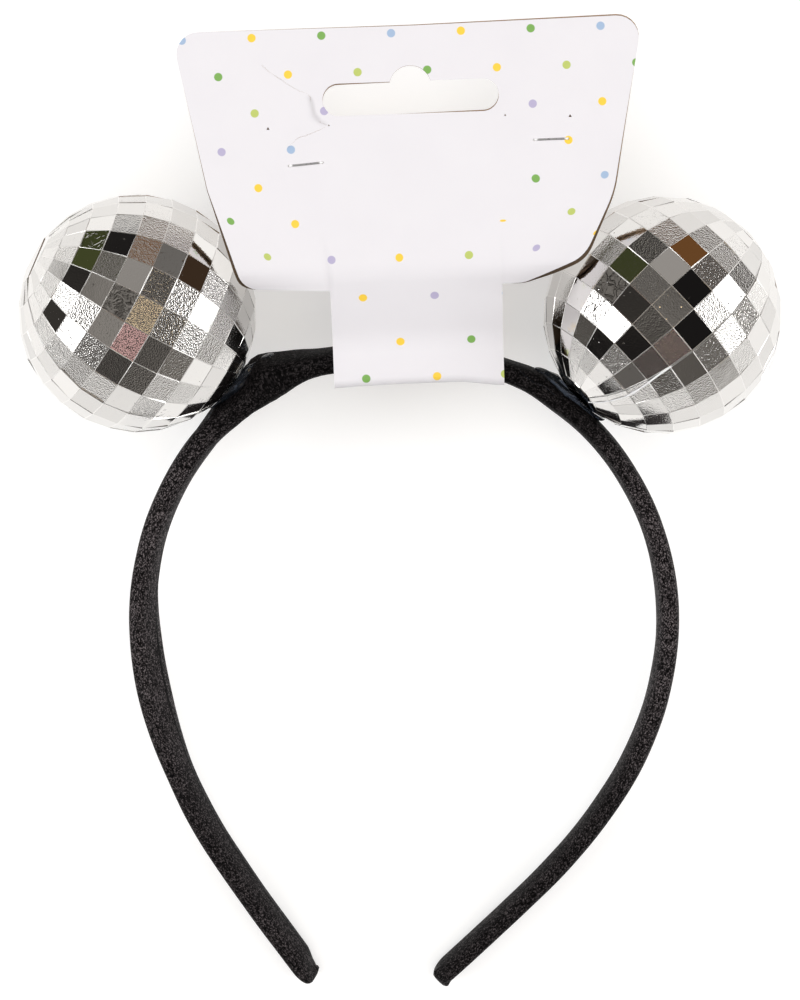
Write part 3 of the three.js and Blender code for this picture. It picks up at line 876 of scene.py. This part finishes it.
def on_card(x, y, off):
    """A place in the card's own measure, on the turned card: the leaves bow, the fold follows the band."""
    bow = LEAF_WAVE * noise.noise(Vector((x * 0.035, y * 0.03, 0.7)))
    bow += sum(CORNER_LIFT * corner_reach(curl, x, y) ** 2 for curl in CORNER_CURLS)
    off += bow * ease(y, TONGUE_TOP - 2, TONGUE_TOP + 6)
    y += fold_arch(x) * (1 - ease(y, LOOP_BOTTOM, LOOP_TOP))
    across = CARD_X + x * math.cos(CARD_YAW) - (y - LOOP_BOTTOM) * math.sin(CARD_YAW)
    along = LOOP_BOTTOM + x * math.sin(CARD_YAW) + (y - LOOP_BOTTOM) * math.cos(CARD_YAW)
    return laid(across, along, off)


def folded(x, high, off):
    """Where a place on the flat blank goes when the card is folded, with a height off the sheet's middle."""
    run = min(max(BLANK_TOP - high, 0.0), profile_runs[-1] - 1e-6)
    index = bisect.bisect_right(profile_runs, run) - 1
    share = (run - profile_runs[index]) / (profile_runs[index + 1] - profile_runs[index])
    way = profile_turns[index].lerp(profile_turns[index + 1], share).normalized()
    place = profile[index].lerp(profile[index + 1], share) + way * off
    return on_card(x, place.x, place.y)


def from_line(x, y, line):
    """Distance from a line of points, and whether the place is on its left going along."""
    best, left = 1e9, False
    for (ax, ay), (bx, by) in zip(line, line[1:]):
        dx, dy = bx - ax, by - ay
        t = min(1.0, max(0.0, ((x - ax) * dx + (y - ay) * dy) / (dx * dx + dy * dy)))
        gap = math.hypot(x - ax - t * dx, y - ay - t * dy)
        if gap < best:
            best, left = gap, dx * (y - ay) - dy * (x - ax) > 0
    return best, left


def score(piece, axis, places, low=(-999, -999), high=(999, 999)):
    """Cuts lines across a flat sheet, square to an axis, between two corners, so that it can bend there."""
    def inside(face):
        x, y = face.center.x / MM, face.center.y / MM
        return low[0] < x < high[0] and low[1] < y < high[1]

    for place in places:
        pick(piece, "FACE", inside)
        at = (place * MM, 0, 0) if axis == 0 else (0, place * MM, 0)
        bpy.ops.mesh.bisect(plane_co=at, plane_no=(1, 0, 0) if axis == 0 else (0, 1, 0))
        bpy.ops.object.mode_set(mode="OBJECT")


def printed_at(x, y):
    """Which place of the print is at a place on the blank; fold and corners have drawn the print along."""
    if y < TONGUE_TOP + 1:
        raised = fold_arch(x) * (1 - ease(y, LOOP_BOTTOM - 1.5, LOOP_TOP - 1.5))
        wider = (x - PRINT_MIDDLE) * TONGUE_STRETCH * (1 - ease(x, 12, 18) * (y < LOOP_TOP))
        wider -= TONGUE_EDGE_DRAWN * ease(-x, 17.5, 20)
        return Vector((x - wider, y + raised))
    spot = Vector((x, y))
    low = 1 - ease(y, *LEAF_DRAWN_TO)
    if x > PRINT_MIDDLE:
        spot.x -= (x - PRINT_MIDDLE) * LEAF_STRETCH * low
    else:
        spot.x -= LEAF_DRAWN * low * ease(-x, 0, 12)
    for curl in CORNER_CURLS:
        draw = curl["by"] * (corner_reach(curl, x, y) / 10) ** curl["power"]
        spot += draw * ease(y, TONGUE_TOP, TONGUE_TOP + 5) * Vector(curl["drawn"])
    return spot


def cut_leaf(piece, back):
    """Takes the shape just added, which is in the card's own measure, out of one leaf of the flat blank."""
    cutter = bpy.context.object
    bpy.ops.object.transform_apply()
    for point in cutter.data.vertices:
        point.co.y = on_blank(point.co.y / MM, back) * MM
    turn_outward()
    cut_away(piece, cutter)


corners = []
for line, back in (
    (FRONT_LEFT, False), (BACK_LEFT[::-1], True), (BACK_RIGHT[::-1], True), (FRONT_RIGHT, False),
):
    corners += [(x, on_blank(y, back), radius) for x, y, radius in line]
outline = round_corners(corners, True)
bpy.ops.mesh.primitive_circle_add(vertices=len(outline), radius=1.0, fill_type="NGON")
card = bpy.context.object
card.name = "hanging_card"
for point, place in zip(card.data.vertices, outline):
    point.co = Vector((place.x, place.y, -CARD_THICK / 2)) * MM
bpy.ops.object.mode_set(mode="EDIT")
bpy.ops.mesh.select_all(action="SELECT")
bpy.ops.mesh.extrude_region_move(TRANSFORM_OT_translate={"value": (0, 0, CARD_THICK * MM)})
bpy.ops.object.mode_set(mode="OBJECT")
turn_outward()


def pierce(sides, x, y, radius, back):
    """Makes a hole in one leaf of the flat blank."""
    place = (x * MM, y * MM, 0)
    deep = CUT_DEPTH * MM
    bpy.ops.mesh.primitive_cylinder_add(vertices=sides, radius=radius * MM, depth=deep, location=place)
    cut_leaf(card, back)


def along_staple(staple, run):
    """A place on the card, so far from a staple's middle along its wire."""
    return staple["x"] + run * math.cos(staple["turn"]), staple["y"] + run * math.sin(staple["turn"])


staple_leg = STAPLE_LENGTH / 2 - STAPLE_WIRE / 2
legs = [along_staple(staple, run) for staple in STAPLES for run in (-staple_leg, staple_leg)]
for back, turn, less in ((False, 0.0, 0.0), (True, BACK_SLOT_TURN, BACK_SLOT_LESS)):
    tall = SLOT_HEIGHT - less
    bpy.ops.mesh.primitive_cube_add(size=1.0, scale=(2 * SLOT_HALF * MM, tall * MM, CUT_DEPTH * MM))
    bpy.ops.object.transform_apply()
    slot = bpy.context.object
    heights = [point.co.z for point in slot.data.vertices]
    pick(slot, "EDGE", lambda edge: heights[edge.vertices[0]] * heights[edge.vertices[1]] < 0)
    bpy.ops.mesh.bevel(offset=(tall / 2 - 0.02) * MM, segments=9, affect="EDGES")
    bpy.ops.object.mode_set(mode="OBJECT")
    slot.location = (SLOT_X * MM, SLOT_Y * MM, 0)
    slot.rotation_euler = (0, 0, turn)
    cut_leaf(card, back)
    pierce(40, SLOT_X, SLOT_Y + tall / 2 - SLOT_BUMP_SUNK, SLOT_BUMP, back)
    for leg in legs:
        pierce(9, *leg, STAPLE_WIRE / 2 + HOLE_CLEAR, back)
for hole in OLD_HOLES:
    pierce(3, *hole, False)
for tear in TEARS:
    path = []
    for x, y in smooth_path(tear, 6):
        ragged = noise.noise_vector(Vector((x * 1.9, y * 1.9, 0.3)))
        path.append(Vector((x + TEAR_RAGGED * ragged.x, y + TEAR_RAGGED * ragged.y, CARD_THICK / 2)) * MM)
    swell = [1.0 + 1.1 * noise.noise(Vector((i * 0.31, 0.7, tear[0][1]))) for i in range(len(path))]
    cut_away(card, wire_mesh("tear", path, TEAR_WIDTH / 2 * MM, swell))

# The odd offsets keep the cuts clear of the outline's own points.
bend_steps = [BLANK_TOP - run - 0.011 for run in profile_runs[1:-1]]
rows = int((BLANK_TOP - BLANK_BOTTOM) / SCORE_STEP)
score(card, 1, [BLANK_BOTTOM + 1.13 + SCORE_STEP * i for i in range(rows)] + bend_steps)
score(card, 0, [-55.37 + SCORE_STEP * i for i in range(43)])
edges = [edge + step for edge in (TONGUE_LEFT, TONGUE_RIGHT) for step in (-1.01, -0.52, 0.03, 0.49, 1.02)]
edges += [TONGUE_LEFT - step for step in (1.53, 2.04, 2.51, 3.02)]
score(card, 0, edges, (-25, 46), (24, 72))
curl_low, curl_high = (-24.9, 87.4), (-18.4, 96.9)
score(card, 0, [curl_low[0] + 0.13 + CURL_STEP * i for i in range(21)], curl_low, curl_high)
score(card, 1, [curl_low[1] + 0.11 + CURL_STEP * i for i in range(31)], curl_low, curl_high)

sheet = card.data
sheet.materials.clear()
outer_face = [face.normal.z > 0.5 and face.center.y > PRINT_END * MM for face in sheet.polygons]
print_map = sheet.uv_layers.get("UVMap") or sheet.uv_layers.new(name="UVMap")
for loop in sheet.loops:
    spot = sheet.vertices[loop.vertex_index].co.xy / MM
    print_map.data[loop.index].uv = printed_at(*spot) / PRINT_SPAN + Vector((0.5, 0.5))
# Painted shade: greys the board where the flap curls up beside the tear, and beside the tongue's creases,
# most on the left.
painted_crease_shade = sheet.attributes.new("painted_crease_shade", "FLOAT", "POINT")
for point in sheet.vertices:
    x, high, off = point.co / MM
    if curl_low[0] < x < curl_high[0] and curl_low[1] < high < curl_high[1]:
        gap, left = from_line(x, high, TEAR_CURL)
        along_curl = between(high, 87.8, 89.8, 94.0, 95.6)
        painted_crease_shade.data[point.index].value = along_curl * math.exp(-((gap / 0.55) ** 2))
        off += CURL_RISE * along_curl * math.exp(-((gap / (0.3 if left else 0.9)) ** 2))
    elif LEAVES_MEET - 12 < high < LEAVES_MEET + 12:
        strayed = 2.2 * max(0.0, (high - TONGUE_TOP) / 15) ** 2
        beside = abs(x - TONGUE_LEFT + strayed) if x < 0 else abs(x - TONGUE_RIGHT)
        along_score = between(high, 48, 52, 53, 67) * math.exp(-((beside / 0.6) ** 2))
        along_score *= 1.0 if x < 0 else 0.35
        painted_crease_shade.data[point.index].value = 0.3 * along_score
        off -= SCORE_DEPTH * along_score
    point.co = folded(x, high, off)

DOT_STEP = 15.63
DOT_ROW = 8.36
DOT_RADIUS = 0.93
DOT_FIRST = (-4.19, 108.26)
DOT_COLOURS = {
    "yellow": (0.89, 0.60, 0.065), "green": (0.195, 0.395, 0.098), "lime": (0.48, 0.56, 0.15),
    "blue": (0.35, 0.47, 0.65), "purple": (0.455, 0.415, 0.59),
}
DOT_ROWS = [
    ("blue", "yellow", "green"), ("green", "yellow", "lime"),
    ("yellow", "lime", "purple"), ("purple", "blue", "yellow"),
]
TONGUE_PRINT_STEPS = [(53.5, 1.0), (43.3, 3.2)]
SLIVER = (19.2, 65.6)
SLIVER_SIZE = (0.72, 0.27)
FIELD_MIDDLE = 74.8
FIELD_HALF_HEIGHT = 9.5
FIELD_HALF_WIDTH = 23.5

paper_fibre = bpy.data.node_groups.new("paper_fibre", "ShaderNodeTree")
for way, names in (
    ("INPUT", ("Vector", "Scale", "Smooth", "Rough", "Relief")),
    ("OUTPUT", ("Fibre", "Roughness", "Normal")),
):
    for name in names:
        kind = "NodeSocketVector" if name in ("Vector", "Normal") else "NodeSocketFloat"
        paper_fibre.interface.new_socket(name, in_out=way, socket_type=kind)
given = paper_fibre.nodes.new("NodeGroupInput").outputs
made = paper_fibre.nodes.new("NodeGroupOutput").inputs
fibre = cloudy(paper_fibre, given["Vector"], given["Scale"], 4.0, Roughness=0.65)
dull = remap(paper_fibre, fibre, 0.3, 0.7, given["Smooth"], given["Rough"])
paper_fibre.links.new(fibre, made["Fibre"])
paper_fibre.links.new(dull, made["Roughness"])
paper_fibre.links.new(bumped(paper_fibre, fibre, given["Relief"], 0.05), made["Normal"])

card_print, tree, shader = new_material("printed_board", Specular_IOR_Level=0.35)
spot = add_node(tree, "UVMap", uv_map="UVMap").outputs["UV"]
spot = add_node(tree, "VectorMath", {0: spot, 1: (0.5, 0.5, 0)}, operation="SUBTRACT").outputs["Vector"]
spot = add_node(tree, "VectorMath", {0: spot, "Scale": PRINT_SPAN}, operation="SCALE").outputs["Vector"]
x, y = numbers(tree, spot)[:2]
printed_y = y
for below, step in TONGUE_PRINT_STEPS:
    lower = calc(tree, "LESS_THAN", y, below)
    printed_y = calc(tree, "MULTIPLY_ADD", lower, step, printed_y)
row = calc(tree, "DIVIDE", calc(tree, "SUBTRACT", DOT_FIRST[1], printed_y), DOT_ROW)
row_index = calc(tree, "ROUND", row)
half_step = product(tree, calc(tree, "FLOORED_MODULO", row_index, 2.0), 0.5)
place = calc(tree, "DIVIDE", calc(tree, "SUBTRACT", x, DOT_FIRST[0]), DOT_STEP)
place = calc(tree, "SUBTRACT", place, half_step)
step_index = calc(tree, "ROUND", place)
off_x = product(tree, calc(tree, "SUBTRACT", place, step_index), DOT_STEP)
off_y = product(tree, calc(tree, "SUBTRACT", row, row_index), DOT_ROW)
apart = calc(tree, "SQRT", calc(tree, "MULTIPLY_ADD", off_x, off_x, product(tree, off_y, off_y)))
dot = remap(tree, apart, DOT_RADIUS - 0.06, DOT_RADIUS + 0.06, 1.0, 0.0)
dot_x = calc(tree, "MULTIPLY_ADD", calc(tree, "ADD", step_index, half_step), DOT_STEP, DOT_FIRST[0])
dot_y = calc(tree, "MULTIPLY_ADD", row_index, -DOT_ROW, DOT_FIRST[1] - FIELD_MIDDLE)
beside = calc(tree, "GREATER_THAN", calc(tree, "ABSOLUTE", dot_x), FIELD_HALF_WIDTH)
beyond = calc(tree, "GREATER_THAN", calc(tree, "ABSOLUTE", dot_y), FIELD_HALF_HEIGHT)
dot = product(tree, dot, calc(tree, "MAXIMUM", beside, beyond))
colour_index = calc(tree, "FLOORED_MODULO", calc(tree, "ADD", step_index, lower), 3.0)
colour_index = calc(tree, "MULTIPLY_ADD", calc(tree, "FLOORED_MODULO", row_index, 4.0), 3.0, colour_index)
inks = [DOT_COLOURS[name] for names in DOT_ROWS for name in names]
chosen = calc(tree, "DIVIDE", calc(tree, "ADD", colour_index, 0.5), len(inks))
ink = ramp(tree, chosen, [(i / len(inks), colour) for i, colour in enumerate(inks)], "CONSTANT")
smudge = cloudy(tree, spot, 0.07, 3.0)
white = mix_colours(tree, smudge, (0.735, 0.720, 0.755), (0.775, 0.762, 0.792))
# Painted shade: the board is greyed along the tear's curl and the tongue's creases.
crease_shade_share = add_node(tree, "Attribute", attribute_name="painted_crease_shade").outputs["Fac"]
white = mix_colours(tree, product(tree, crease_shade_share, 0.5), white, (0.46, 0.45, 0.47))
inked = mix_colours(tree, dot, white, ink)
off_x, off_y = (
    calc(tree, "DIVIDE", calc(tree, "SUBTRACT", here, middle), reach)
    for here, middle, reach in zip((x, y), SLIVER, SLIVER_SIZE)
)
sliver = calc(tree, "MULTIPLY_ADD", off_x, off_x, product(tree, off_y, off_y))
inked = mix_colours(tree, remap(tree, sliver, 0.7, 1.2, 1.0, 0.0), inked, DOT_COLOURS["yellow"])
coated = {"Vector": spot, "Scale": 3.0, "Smooth": 0.42, "Rough": 0.56, "Relief": 0.2}
coated = add_node(tree, "Group", coated, node_tree=paper_fibre).outputs
dress(tree, shader, Base_Color=inked, Roughness=coated["Roughness"], Normal=coated["Normal"])

board_brown, tree, shader = new_material("brown_board", Specular_IOR_Level=0.2)
place = add_node(tree, "TexCoord").outputs["Object"]
rough = {"Vector": place, "Scale": 1400.0, "Smooth": 0.78, "Rough": 0.92, "Relief": 0.6}
rough = add_node(tree, "Group", rough, node_tree=paper_fibre).outputs
brown = mix_colours(tree, rough["Fibre"], (0.21, 0.130, 0.075), (0.47, 0.335, 0.225))
shaded = remap(tree, numbers(tree, place)["Y"], 0.060, 0.088, 0.72, 0.0, smooth=True)
brown = mix_colours(tree, shaded, brown, (0.022, 0.016, 0.012))
dress(tree, shader, Base_Color=brown, Roughness=rough["Roughness"], Normal=rough["Normal"])
sheet.materials.append(card_print)
sheet.materials.append(board_brown)
for face, outer in zip(sheet.polygons, outer_face):
    face.material_index = 0 if outer else 1
select_only(card)
bpy.ops.object.shade_smooth_by_angle(angle=math.radians(35))
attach(card, "root")
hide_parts("hang_card")

# Staples: two steel wires, pressed through both leaves of the card, with their feet folded in behind.
# The drawn wire is dull grey; near its bends it is painted white as a painted highlight, where the wire
# shines.
STAPLE_FOOT = 2.9
STAPLE_BEND = 0.45
STAPLE_PRESSED_IN = 0.1
STAPLE_SHINE = 0.4
steel, tree, shader = new_material("staple_steel")
place = add_node(tree, "TexCoord").outputs["Object"]
drawn = cloudy(tree, place, 2200.0, 2.0)
# Painted highlight: white and not metallic near the bends.
bend_glint = add_node(tree, "Attribute", attribute_name="bend_glint").outputs["Fac"]
grey = mix_colours(tree, drawn, (0.10, 0.099, 0.10), (0.26, 0.257, 0.26))
dress(
    tree, shader, Base_Color=mix_colours(tree, bend_glint, grey, (0.96, 0.96, 0.96)),
    Metallic=remap(tree, bend_glint, 0.0, 1.0, 0.6, 0.0), Roughness=remap(tree, drawn, 0.3, 0.7, 0.24, 0.42),
)
near = LEAVES_APART + CARD_THICK / 2 + STAPLE_WIRE / 2 - STAPLE_PRESSED_IN
foot = staple_leg - STAPLE_FOOT
straight = staple_leg - 2 * STAPLE_BEND
staple_line = round_corners([
    (-foot, -near, 0), (-staple_leg, -near, STAPLE_BEND), (-staple_leg, near, STAPLE_BEND),
    (-straight, near, 0), (straight, near, 0),
    (staple_leg, near, STAPLE_BEND), (staple_leg, -near, STAPLE_BEND), (foot, -near, 0),
], False)
for staple in STAPLES:
    path = [on_card(*along_staple(staple, run), LEAVES_HEIGHT + deep) for run, deep in staple_line]
    wire = wire_mesh(f"wire_staple_{staple['side']}", path, STAPLE_WIRE / 2 * MM)
    middle = on_card(staple["x"], staple["y"], LEAVES_HEIGHT)
    # How much painted highlight each point takes, rising towards the bends.
    bend_glint = wire.data.attributes.new("bend_glint", "FLOAT", "POINT")
    for point in wire.data.vertices:
        reach = (point.co - middle).length / MM
        bend_glint.data[point.index].value = ease(reach, straight, staple_leg - STAPLE_SHINE)
    wire.data.materials.clear()
    wire.data.materials.append(steel)
    bpy.ops.object.shade_smooth_by_angle(angle=math.radians(40))
    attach(wire, "root")
    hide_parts(f"staple_{staple['side']}")
